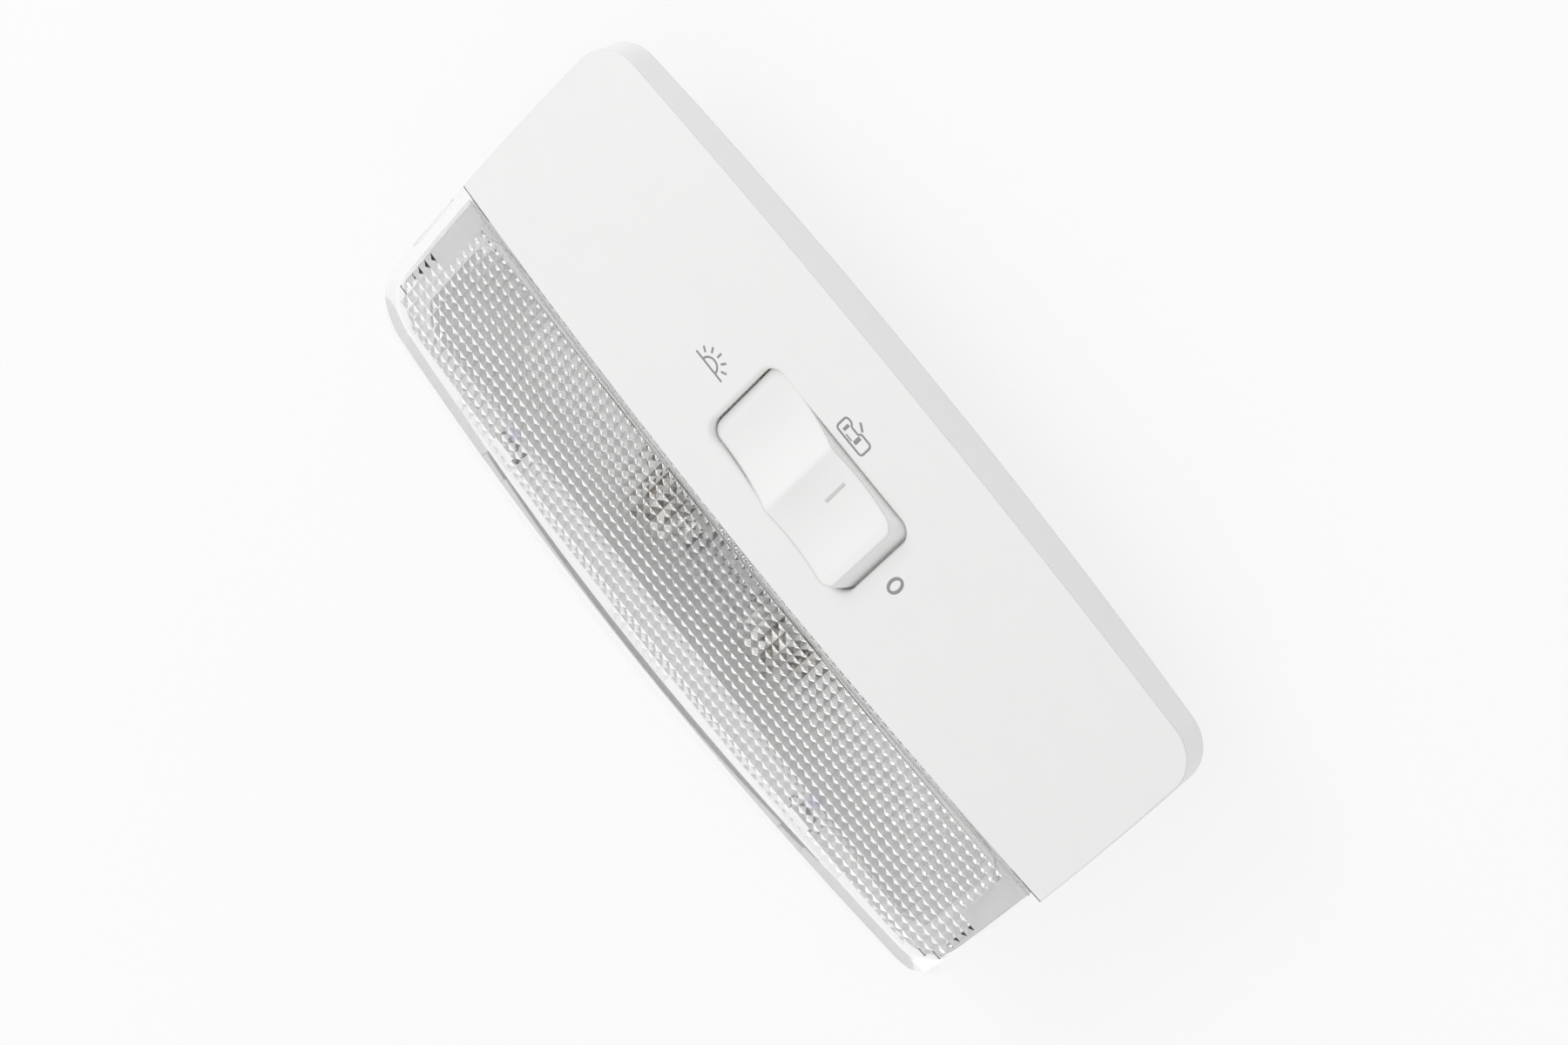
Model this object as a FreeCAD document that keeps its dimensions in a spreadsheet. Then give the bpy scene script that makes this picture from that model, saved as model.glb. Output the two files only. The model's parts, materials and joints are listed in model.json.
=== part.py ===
import FreeCAD, Part
import math
import os
import re
import Sketcher
from FreeCAD import Placement, Rotation, Vector

# Car courtesy light: prismatic lens along one side of a white panel, with a three position rocker.
# +X runs along the lamp, +Y from the lens to the rocker panel, +Z out of the visible face.
# The origin lies on the headliner seat, on the line where lens and panel meet.

# Driving sizes, millimetres and degrees
SIZES = {
    # Outline and crowned face
    "body_length": 158.6,
    "lens_reach": 35.8,
    "panel_reach": 46.0,
    "lens_bow": 4.2,
    "panel_bow": 3.0,
    "end_bow": 0.9,
    "joint_bow": 1.2,
    "joint_gap": 0.15,
    "lens_corner": 10.0,
    "panel_corner": 8.0,
    "face_height": 8.0,
    "crown_radius": 1533.0,
    "wall": 2.2,
    # Lens
    "lens_plate": 2.4,
    "lens_skirt": 2.0,
    "lens_lift": 0.2,
    "lens_flange_depth": 3.4,
    "prism_pitch": 2.0,
    "prism_depth": 0.5,
    "prism_shy": 0.05,
    "plain_rim": 2.2,
    "label_strip": 5.0,
    "label_length": 15.0,
    "root_bond": 0.4,
    "hook_spread": 83.6,
    "hook_width": 5.0,
    "hook_thick": 1.4,
    "hook_barb": 0.7,
    "hook_inset": 4.2,
    "hook_lead": 2.0,
    "hook_slot_gap": 0.35,
    "tongue_spread": 66.0,
    "tongue_width": 10.0,
    "tongue_thick": 1.0,
    "tongue_reach": 1.5,
    "notch_width": 10.0,
    "notch_depth": 0.8,
    "notch_sink": 1.2,
    # Lamp chamber in the housing
    "shelf_top": 2.4,
    "shelf_thick": 1.8,
    "end_margin": 8.3,
    "inner_margin": 3.0,
    "outer_margin": 8.6,
    "chamber_corner": 6.0,
    "collar_wall": 1.8,
    "collar_depth": 6.0,
    "fit_gap": 0.3,
    # Fixing to the headliner
    "board_thick": 2.5,
    "tongue_fix_thick": 1.8,
    "tongue_fix_reach": 4.5,
    "fix_width": 12.0,
    "fix_panel_y": 21.0,
    "clip_width": 10.0,
    "clip_thick": 0.5,
    "clip_bulge": 2.4,
    "clip_bulge_rise": 3.0,
    "clip_fit": 0.05,
    "clip_tail": 1.2,
    "clip_rise": 1.4,
    "clip_lead": 0.6,
    "clip_height": 5.2,
    # Reflector
    "reflector_sheet": 0.5,
    "reflector_flange": 1.3,
    "reflector_floor_z": -13.1,
    "reflector_end_slope": 14.0,
    "reflector_side_slope": 4.8,
    "leaf_slot_length": 5.0,
    "leaf_slot_shift": 1.2,
    "leaf_slot_gap": 1.0,
    # Festoon bulb
    "bulb_length": 36.0,
    "bulb_diameter": 10.3,
    "bulb_glass_wall": 0.7,
    "bulb_neck": 7.4,
    "bulb_cap_diameter": 8.6,
    "bulb_cap_wall": 0.4,
    "bulb_cone": 3.0,
    "bulb_tip": 2.6,
    "bulb_cap_length": 6.8,
    "glass_end_gap": 0.6,
    "glass_neck_gap": 0.2,
    "glass_shoulder": 2.6,
    "bulb_axis_z": -5.0,
    "coil_diameter": 1.3,
    "coil_length": 14.0,
    "lead_wire": 0.5,
    # Rocker switch
    "rocker_y": 18.5,
    "pivot_z": 1.0,
    "rocker_width": 19.0,
    "rocker_half": 17.35,
    "rocker_lip": 7.4,
    "rocker_ridge": 8.85,
    "rocker_pad_mid": 6.5,
    "rocker_pad_side": 7.1,
    "rocker_skirt": 1.2,
    "rocker_wall": 1.6,
    "rocker_corner": 3.0,
    "rocker_corner_ease": 0.6,
    "lip_land": 1.8,
    "ridge_flat": 0.3,
    "ridge_fall": 0.25,
    "end_draft": 0.8,
    "inside_corner": 2.0,
    "rocker_tilt": 7.0,
    "side_gap": 0.3,
    "end_gap": 0.3,
    "well_margin": 0.2,
    "well_round": 0.8,
    "trunnion": 4.0,
    "trunnion_length": 2.1,
    "pivot_clearance": 0.08,
    "ear_thick": 2.4,
    "ear_radius": 5.0,
    "spine_length": 6.0,
    "spine_width": 14.0,
    "spine_depth": 9.6,
    # Detent and sliding contact
    "plunger_diameter": 3.4,
    "plunger_clearance": 0.08,
    "plunger_top": 6.5,
    "plunger_nose": 0.7,
    "nose_length": 2.4,
    "nose_tip": 0.3,
    "bore_rise": 3.5,
    "seat_gap": 0.1,
    "nose_radius": 15.0,
    "cam_gap": 0.3,
    "pad_rise": 0.05,
    "finger_lift": 0.25,
    "detent_sink": 0.35,
    "cam_half": 5.5,
    "cam_width": 4.4,
    "cam_height": 2.2,
    "cam_root": 0.2,
    "spring_wire": 0.4,
    "spring_turns": 7.0,
    "wiper_sheet": 0.4,
    "wiper_finger": 2.0,
    "finger_spread": 13.0,
    "rivet_diameter": 1.6,
    "rivet_spread": 9.2,
    "rivet_hole": 3.5,
    "rivet_head": 0.5,
    # Carrier and terminals
    "carrier_half": 46.0,
    "carrier_back": 24.5,
    "carrier_front": 31.0,
    "carrier_plate": 2.0,
    "carrier_rim": 1.8,
    "carrier_height": 4.15,
    "carrier_corner": 4.0,
    "strip_thick": 0.6,
    "strip_width": 4.0,
    "strip_margin": 4.0,
    "strip_side": 6.0,
    "pad_width": 1.3,
    "pad_offset": 2.6,
    "pad_overlap": 0.6,
    "blade_width": 4.8,
    "blade_pitch": 6.0,
    "blade_first": -28.0,
    "blade_root": 12.0,
    "blade_shy": 0.4,
    "blade_fit": 0.05,
    "blade_chamfer": 1.0,
    "shroud_proud": 1.0,
    "shroud_depth": 9.5,
    "shroud_wall": 1.5,
    "shroud_height": 8.0,
    "shroud_margin": 3.0,
    "leaf_width": 7.0,
    "leaf_thick": 0.5,
    "leaf_top": 4.6,
    "leaf_grip": 0.2,
    "leaf_foot": 6.0,
    "leaf_bend": 1.4,
    "leaf_bend_rise": 2.6,
    "leaf_straight": 3.0,
    "leaf_flare": 1.0,
    "leaf_hole_gap": 0.65,
    # Screws
    "screw_edge": 5.5,
    "screw_row": 18.0,
    "screw_diameter": 2.8,
    "screw_length": 12.0,
    "screw_head": 5.8,
    "screw_head_height": 1.9,
    "boss_diameter": 7.0,
    "screw_clearance": 0.06,
}

doc = FreeCAD.newDocument("courtesy_light")
sheet = doc.addObject("Spreadsheet::Sheet", "Sizes")
for row, (name, value) in enumerate(SIZES.items(), start=1):
    sheet.set(f"A{row}", name)
    sheet.set(f"B{row}", str(value))
    sheet.setAlias(f"B{row}", name)
doc.recompute()


def mm(name):
    """Value of a sheet cell."""
    return float(sheet.get(name))


def linked(text):
    """Expression on the sheet, written with bare size names."""
    return re.sub(r"[a-z]+(_[a-z]+)*", lambda word: "Sizes." + word[0], text)


# Positions that several pieces share
HALF = mm("body_length") / 2
CROWN_Z = mm("face_height") - mm("crown_radius")
PIVOT = Vector(0, mm("rocker_y"), mm("pivot_z"))
CHAMBER_HALF = HALF - mm("end_margin")
CHAMBER_NEAR = -mm("joint_bow") - mm("inner_margin") + mm("joint_gap")
CHAMBER_FAR = -mm("lens_reach") + mm("outer_margin")
PRISM_NEAR = -mm("joint_bow") - mm("joint_gap") - mm("plain_rim")
BULB = Vector(0, (CHAMBER_NEAR + CHAMBER_FAR) / 2, mm("bulb_axis_z"))
PAD_Z = mm("pivot_z") - mm("nose_radius") - mm("cam_gap") + mm("pad_rise")
PLATE_Z = PAD_Z - mm("strip_thick")
STRIP_START = mm("carrier_front") - mm("blade_root") + mm("strip_width") / 4
SEAT_Z = 0.0
DEEP = 60.0
NEAR = 0.01
PAD_SHARE = 0.54
REST = Placement(PIVOT, Rotation(Vector(0, 1, 0), -mm("rocker_tilt")))
SCREWS = [
    Vector(side * (mm("carrier_half") - mm("screw_edge")), mm("carrier_front") - mm("screw_edge") - row, 0)
    for side in (-1, 1)
    for row in (0, mm("screw_row"))
]


def feature(label, shape, placement=None):
    """Sub-part whose shape is worked out from the sheet."""
    item = doc.addObject("Part::Feature", label)
    item.Shape = shape
    if placement:
        item.Placement = placement
    return item


def linked_box(label, size, corner):
    """Box whose size and corner are sheet expressions."""
    item = doc.addObject("Part::Box", label)
    for side, text in zip(("Length", "Width", "Height"), size):
        item.setExpression(side, linked(text))
    for axis, text in zip("xyz", corner):
        item.setExpression("Placement.Base." + axis, linked(text))
    return item


def linked_cylinder(label, radius, height, base):
    """Upright cylinder whose sizes are sheet expressions."""
    item = doc.addObject("Part::Cylinder", label)
    item.setExpression("Radius", linked(radius))
    item.setExpression("Height", linked(height))
    for axis, text in zip("xyz", base):
        item.setExpression("Placement.Base." + axis, linked(text))
    return item


def joined(label, shapes):
    """Union of document objects."""
    item = doc.addObject("Part::MultiFuse", label)
    item.Shapes = shapes
    return item


def cut_from(label, base, tools):
    """Base with a union of tools taken away."""
    item = doc.addObject("Part::Cut", label)
    item.Base = base
    item.Tool = tools[0] if len(tools) == 1 else joined(label + "_tools", tools)
    return item


def origin_plane(body, role):
    """One of the body's own origin planes."""
    return next(plane for plane in body.Origin.OriginFeatures if plane.Role == role)


def turned(label, points, placement):
    """Body turned about its own X axis from a closed outline of (along, radius) expressions."""
    body = doc.addObject("PartDesign::Body", label)
    sketch = body.newObject("Sketcher::SketchObject", label + "_outline")
    sketch.AttachmentSupport = (origin_plane(body, "XY_Plane"), [""])
    sketch.MapMode = "FlatFace"
    count = len(points)
    ring = [2 * math.pi * index / count for index in range(count + 1)]
    start = [Vector(math.cos(angle), 2 + math.sin(angle), 0) for angle in ring]
    for index in range(count):
        sketch.addGeometry(Part.LineSegment(start[index], start[index + 1]), False)
    for index in range(count):
        sketch.addConstraint(Sketcher.Constraint("Coincident", index, 2, (index + 1) % count, 1))
    for index, (along, radius) in enumerate(points):
        for kind, text in (("DistanceX", along), ("DistanceY", radius)):
            place = sketch.addConstraint(Sketcher.Constraint(kind, -1, 1, index, 1, 1.0))
            sketch.setExpression(f"Constraints[{place}]", linked(text))
    turn = body.newObject("PartDesign::Revolution", label + "_turn")
    turn.Profile = sketch
    turn.ReferenceAxis = (sketch, ["H_Axis"])
    turn.Angle = 360
    body.Placement = placement
    return body


def polygon_face(points):
    """Flat face inside a closed polygon."""
    return Part.Face(Part.makePolygon(points + [points[0]]))


def ribbon(path, thick):
    """Closed outline of a strip of even thickness whose middle follows a path of (u, v) pairs."""
    sides = ([], [])
    for index, (u, v) in enumerate(path):
        before = path[max(index - 1, 0)]
        after = path[min(index + 1, len(path) - 1)]
        legs = []
        for start, end in ((before, (u, v)), ((u, v), after)):
            run = math.hypot(end[0] - start[0], end[1] - start[1])
            if run > 0:
                legs.append(((start[1] - end[1]) / run, (end[0] - start[0]) / run))
        nu = sum(leg[0] for leg in legs)
        nv = sum(leg[1] for leg in legs)
        stretch = thick / (nu * legs[0][0] + nv * legs[0][1])
        sides[0].append((u + nu * stretch / 2, v + nv * stretch / 2))
        sides[1].append((u - nu * stretch / 2, v - nv * stretch / 2))
    return sides[0] + sides[1][::-1]


def is_upright(edge):
    """True for an edge that runs along Z."""
    way = edge.tangentAt(edge.FirstParameter)
    return abs(way.z) > abs(way.x) + abs(way.y)


def rounded_box(low, high, radius):
    """Upright block with rounded vertical edges."""
    block = Part.makeBox(high.x - low.x, high.y - low.y, high.z - low.z, low)
    return block.makeFillet(radius, [edge for edge in block.Edges if is_upright(edge)])


def rounded_wire(low, high, z, radius):
    """Rounded rectangle in a level plane."""
    block = rounded_box(Vector(low.x, low.y, z), Vector(high.x, high.y, z + 1), radius)
    return min(block.Faces, key=lambda face: face.CenterOfMass.z).OuterWire


# Outline blocks shared by lens and housing


def bowed(start, middle, end):
    """Arc edge through three points."""
    return Part.Arc(start, middle, end).toShape()


def outline_block(inset, bottom, drop):
    """Lamp outline drawn in by inset, from bottom up to the crown lowered by drop."""
    end_x = HALF - mm("end_bow") - inset
    lens_y = -mm("lens_reach") + mm("lens_bow") + inset
    panel_y = mm("panel_reach") - mm("panel_bow") - inset
    signs = ((-1, lens_y), (1, lens_y), (1, panel_y), (-1, panel_y))
    corners = [Vector(side * end_x, y, bottom) for side, y in signs]
    middle_y = (lens_y + panel_y) / 2
    edges = [
        bowed(corners[0], Vector(0, lens_y - mm("lens_bow"), bottom), corners[1]),
        bowed(corners[1], Vector(end_x + mm("end_bow"), middle_y, bottom), corners[2]),
        bowed(corners[2], Vector(0, panel_y + mm("panel_bow"), bottom), corners[3]),
        bowed(corners[3], Vector(-end_x - mm("end_bow"), middle_y, bottom), corners[0]),
    ]
    block = Part.Face(Part.Wire(edges)).extrude(Vector(0, 0, DEEP))
    for y, size in ((lens_y, "lens_corner"), (panel_y, "panel_corner")):
        upright = [
            edge for edge in block.Edges
            if abs(edge.CenterOfMass.y - y) < NEAR and abs(abs(edge.CenterOfMass.x) - end_x) < NEAR
        ]
        block = block.makeFillet(mm(size) - inset, upright)
    crown = Part.makeCylinder(
        mm("crown_radius") - drop, 4 * DEEP, Vector(0, -2 * DEEP, CROWN_Z), Vector(0, 1, 0),
    )
    return block.common(crown)


def lens_side(back):
    """Space on the lens side of the bowed joint line, moved back along -Y."""
    reach = HALF + 1
    start = Vector(-reach, -back, -DEEP)
    end = Vector(reach, -back, -DEEP)
    far = -2 * DEEP
    edges = [
        bowed(start, Vector(0, -mm("joint_bow") - back, -DEEP), end),
        Part.makeLine(end, Vector(reach, far, -DEEP)),
        Part.makeLine(Vector(reach, far, -DEEP), Vector(-reach, far, -DEEP)),
        Part.makeLine(Vector(-reach, far, -DEEP), start),
    ]
    return Part.Face(Part.Wire(edges)).extrude(Vector(0, 0, 2 * DEEP))


def joint_y(x):
    """Height of the joint line along Y at a place on X."""
    return -mm("joint_bow") * (1 - (x / (HALF + 1)) ** 2)


def crown_z(x, drop):
    """Height of the crowned face, lowered by drop."""
    return CROWN_Z + math.sqrt((mm("crown_radius") - drop) ** 2 - x * x)


def lens_edge_y(x):
    """Outer edge of the lens at a place on X."""
    return -mm("lens_reach") + mm("lens_bow") * (x / (HALF - mm("end_bow"))) ** 2


def chamber_block(grow, bottom, top):
    """Lamp chamber opening, grown all round."""
    low = Vector(-CHAMBER_HALF - grow, CHAMBER_FAR - grow, bottom)
    high = Vector(CHAMBER_HALF + grow, CHAMBER_NEAR + grow, top)
    return rounded_box(low, high, mm("chamber_corner") + grow)


def hook_places():
    """Middle of each lens hook, at its outer face."""
    for side in (-1, 1):
        x = side * mm("hook_spread") / 2
        yield Vector(x, lens_edge_y(x) + mm("hook_inset"), 0)


def tongue_block(side, gap, reach):
    """Lens tongue that passes through the dividing wall, or the window for it."""
    x = side * mm("tongue_spread") / 2
    low = crown_z(x, mm("lens_flange_depth"))
    start = joint_y(x) - mm("joint_gap") - mm("lens_skirt") / 2
    size = (mm("tongue_width") + 2 * gap, reach + mm("lens_skirt"), mm("tongue_thick") + 2 * gap)
    return Part.makeBox(*size, Vector(x - size[0] / 2, start, low - gap))


# Lens


def prism_cells():
    """Column and row of each prism that fits inside the plain rim and clear of the label strips."""
    pitch = mm("prism_pitch")
    corner = mm("lens_corner")
    straight = HALF - mm("end_bow") - corner
    plain = HALF - mm("lens_skirt") - mm("label_strip")
    columns = int((HALF - mm("end_bow") - mm("lens_skirt")) / pitch)
    cells = set()
    for column in range(-columns, columns):
        x = max(abs(column), abs(column + 1)) * pitch
        past = max(0.0, x - straight)
        far = lens_edge_y(x) + corner - math.sqrt(corner ** 2 - past ** 2) + mm("plain_rim")
        last = int((PRISM_NEAR - far) / pitch)
        first = 0 if x <= plain else math.ceil((mm("label_length") + PRISM_NEAR) / pitch)
        cells.update((column, row) for row in range(first, last))
    return cells


def prism_point(column, row, drop):
    """Point of the prism grid at a drop below the crowned face."""
    x = column * mm("prism_pitch")
    return Vector(x, PRISM_NEAR - row * mm("prism_pitch"), crown_z(x, drop))


def prism_cutter():
    """Negative of the prisms: a closed shell whose top is a field of four-sided pyramids."""
    cells = prism_cells()
    valley = mm("lens_plate") - mm("prism_depth")
    peak = mm("lens_plate") - mm("prism_shy")
    floor_z = crown_z(HALF, mm("lens_plate") + mm("prism_depth"))
    ring = ((0, 0), (1, 0), (1, 1), (0, 1))
    beyond = ((0, -1), (1, 0), (0, 1), (-1, 0))
    faces = []
    for column, row in sorted(cells):
        top = [prism_point(column + u, row + v, valley) for u, v in ring]
        foot = [Vector(point.x, point.y, floor_z) for point in top]
        tip = prism_point(column + 0.5, row + 0.5, peak)
        faces.append(polygon_face(foot))
        for side, (u, v) in enumerate(beyond):
            after = (side + 1) % len(ring)
            faces.append(polygon_face([top[side], top[after], tip]))
            if (column + u, row + v) not in cells:
                faces.append(polygon_face([top[side], top[after], foot[after], foot[side]]))
    shell = Part.makeShell(faces)
    shell.sewShape()
    return Part.makeSolid(shell)


def lens_hook(place):
    """Snap hook that drops through the housing's shelf."""
    top = crown_z(place.x, mm("lens_plate") - mm("prism_depth") - mm("root_bond"))
    catch = mm("shelf_top") - mm("shelf_thick") - mm("joint_gap")
    tip = catch - mm("hook_lead")
    thick = mm("hook_thick")
    barb = mm("hook_barb")
    profile = [
        (0, top), (0, catch), (-barb, catch), (-barb, catch - barb),
        (barb / 2, tip), (thick, tip), (thick, top),
    ]
    start = place.x - mm("hook_width") / 2
    face = polygon_face([Vector(start, place.y + y, z) for y, z in profile])
    return face.extrude(Vector(mm("hook_width"), 0, 0))


def make_lens():
    """Clear lens: crowned plate, skirt, inner flange, prisms, snap hooks and tongues."""
    skirt = mm("lens_skirt")
    gap = mm("joint_gap")
    outer = outline_block(0, mm("lens_lift"), 0).common(lens_side(gap))
    hollow = outline_block(skirt, -skirt, mm("lens_plate")).common(lens_side(gap + skirt))
    below_flange = outline_block(skirt, -skirt, mm("lens_flange_depth")).common(lens_side(-skirt))
    reach = mm("wall") + mm("tongue_reach")
    tongues = [tongue_block(side, 0, reach) for side in (-1, 1)]
    notch = Part.makeBox(
        mm("notch_width"), mm("notch_depth") + skirt, 2 * mm("lens_plate"),
        Vector(-mm("notch_width") / 2, joint_y(0) - gap - mm("notch_depth"), crown_z(0, mm("notch_sink"))),
    )
    shell = outer.cut(hollow).cut(below_flange).fuse(tongues).cut(notch).removeSplitter()
    return shell.cut(prism_cutter()).fuse([lens_hook(place) for place in hook_places()])


# Housing


def rocker_opening():
    """Well for the rocker through the panel."""
    radius = math.hypot(mm("rocker_half"), mm("rocker_lip"))
    under = mm("face_height") - mm("wall") - mm("pivot_z") - mm("well_margin")
    half = math.sqrt((radius + mm("end_gap")) ** 2 - under ** 2)
    side = mm("rocker_width") / 2 + mm("side_gap")
    low = Vector(-half, PIVOT.y - side, -DEEP)
    high = Vector(half, PIVOT.y + side, DEEP)
    return rounded_box(low, high, mm("rocker_corner"))


def bearing_ears():
    """Two ears below the panel that carry the rocker's trunnions."""
    side = mm("rocker_width") / 2 + mm("side_gap")
    radius = mm("ear_radius")
    height = mm("face_height") - mm("wall") / 2 - PIVOT.z
    for sign in (-1, 1):
        y = PIVOT.y + (side if sign > 0 else -side - mm("ear_thick"))
        web = Part.makeBox(2 * radius, mm("ear_thick"), height, Vector(-radius, y, PIVOT.z))
        eye = Part.makeCylinder(radius, mm("ear_thick"), Vector(0, y, PIVOT.z), Vector(0, 1, 0))
        yield web.fuse(eye)


def end_walls():
    """Short walls at both ends of the panel that carry the fixing tongue and the clip."""
    for sign in (-1, 1):
        x = sign * (CHAMBER_HALF + mm("collar_wall") / 2) - mm("collar_wall") / 2
        y = mm("fix_panel_y") - mm("fix_width")
        top = crown_z(CHAMBER_HALF, mm("wall") / 2)
        corner = Vector(x, y, -mm("collar_depth"))
        yield Part.makeBox(mm("collar_wall"), 2 * mm("fix_width"), top + mm("collar_depth"), corner)


def fixing_tongues():
    """Rigid tongues at the -X end that slip over the headliner board."""
    for y in (BULB.y, mm("fix_panel_y")):
        x = -CHAMBER_HALF - mm("collar_wall") - mm("tongue_fix_reach")
        size = (mm("tongue_fix_reach") + mm("collar_wall") / 2, mm("fix_width"), mm("tongue_fix_thick"))
        z = -mm("board_thick") - mm("fit_gap") - mm("tongue_fix_thick")
        yield Part.makeBox(*size, Vector(x, y - mm("fix_width") / 2, z))


def make_housing():
    """White moulding: crowned panel, skirt, lens shelf, chamber collar, rocker well and screw bosses."""
    wall = mm("wall")
    panel = outline_block(0, SEAT_Z, 0).cut(lens_side(0))
    inside = outline_block(wall, -1, wall).cut(lens_side(-wall))
    body = panel.cut(inside)
    shelf = outline_block(mm("lens_skirt") + mm("fit_gap"), mm("shelf_top") - mm("shelf_thick"), 0)
    level = Part.makeBox(4 * HALF, 4 * DEEP, DEEP, Vector(-2 * HALF, -2 * DEEP, mm("shelf_top")))
    shelf = shelf.common(lens_side(-wall / 2)).cut(level)
    collar = chamber_block(mm("collar_wall"), -mm("collar_depth"), mm("shelf_top"))
    body = body.fuse([shelf, collar]).cut(chamber_block(0, -DEEP, DEEP / 4).common(lens_side(0)))
    posts = [
        Part.makeCylinder(
            mm("boss_diameter") / 2, crown_z(place.x, wall / 2) - PLATE_Z, Vector(place.x, place.y, PLATE_Z)
        )
        for place in SCREWS
    ]
    body = body.fuse(posts + list(bearing_ears()) + list(end_walls()) + list(fixing_tongues()))
    well = rocker_opening()
    tools = [well]
    hole = mm("trunnion") / 2 + mm("pivot_clearance")
    span = mm("rocker_width") + 2 * mm("side_gap") + 2 * mm("ear_thick")
    tools.append(Part.makeCylinder(hole, span, Vector(0, PIVOT.y - span / 2, PIVOT.z), Vector(0, 1, 0)))
    pilot = mm("screw_diameter") / 2 + mm("screw_clearance")
    tools += [
        Part.makeCylinder(pilot, mm("screw_length"), Vector(place.x, place.y, PLATE_Z))
        for place in SCREWS
    ]
    for place in hook_places():
        loose = mm("hook_slot_gap")
        slot = Vector(mm("hook_width") + 2 * loose, mm("hook_thick") + 2 * loose, DEEP / 4)
        corner = Vector(place.x - slot.x / 2, place.y - loose, -DEEP / 8)
        tools.append(Part.makeBox(slot.x, slot.y, slot.z, corner))
    tools += [tongue_block(side, mm("joint_gap"), 2 * wall) for side in (-1, 1)]
    body = body.cut(tools)
    mouth = well.BoundBox
    mouth.enlarge(mm("joint_gap"))
    level = crown_z(mouth.XMax, mm("well_round") / 2)
    rim = [edge for edge in body.Edges if mouth.isInside(edge.CenterOfMass) and edge.BoundBox.ZMin > level]
    return body.makeFillet(mm("well_round"), rim).removeSplitter()


# Reflector


def tray(shrink, floor, top):
    """Tapered trough from the chamber opening down to the floor."""
    grow = mm("fit_gap") + shrink
    low = Vector(-CHAMBER_HALF + grow, CHAMBER_FAR + grow, 0)
    high = Vector(CHAMBER_HALF - grow, CHAMBER_NEAR - grow, 0)
    slope = Vector(mm("reflector_end_slope"), mm("reflector_side_slope"), 0)
    radius = mm("chamber_corner") - grow
    wires = [rounded_wire(low, high, top, radius), rounded_wire(low + slope, high - slope, floor, radius)]
    return Part.makeLoft(wires, True, True)


def make_reflector():
    """Pressed metal trough with a flange, and slots for the bulb contacts."""
    sheet_thick = mm("reflector_sheet")
    top = mm("shelf_top")
    flange = chamber_block(mm("reflector_flange"), top, top + sheet_thick)
    outer = tray(0, mm("reflector_floor_z"), top).fuse(flange)
    body = outer.cut(tray(sheet_thick, mm("reflector_floor_z") + sheet_thick, top + sheet_thick))
    length = mm("leaf_slot_length")
    wide = mm("leaf_width") + 2 * mm("leaf_slot_gap")
    slots = []
    for side in (-1, 1):
        x = side * (mm("bulb_length") / 2 + mm("leaf_slot_shift"))
        corner = Vector(x - length / 2, BULB.y - wide / 2, mm("reflector_floor_z") - 2 * sheet_thick)
        slots.append(Part.makeBox(length, wide, 12 * sheet_thick, corner))
    return body.cut(slots)


# Rocker and switch pieces, drawn about the pivot with the rocker level


def rocker_section(y, pad, ridge):
    """Closed section of the rocker at one place across its width."""
    half = mm("rocker_half")
    lip = mm("rocker_lip")
    skirt = mm("rocker_skirt")
    radius = math.hypot(half, lip)
    foot = math.sqrt(radius ** 2 - skirt ** 2)
    knee_z = (lip + skirt) / 2
    knee = math.sqrt(radius ** 2 - knee_z ** 2)

    def at(x, z):
        return Vector(x, y, z)

    def pad_arc(sign):
        land = half - mm("lip_land")
        return at(sign * land, lip), at(sign * half * PAD_SHARE, pad), at(sign * mm("ridge_flat"), ridge)

    right = pad_arc(1)
    left = pad_arc(-1)
    edges = [
        Part.makeLine(at(-foot, skirt), at(foot, skirt)),
        bowed(at(foot, skirt), at(knee, knee_z), at(half, lip)),
        Part.makeLine(at(half, lip), right[0]),
        bowed(*right),
        Part.makeLine(right[2], left[2]),
        bowed(left[2], left[1], left[0]),
        Part.makeLine(left[0], at(-half, lip)),
        bowed(at(-half, lip), at(-knee, knee_z), at(-foot, skirt)),
    ]
    return Part.Wire(edges)


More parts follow.
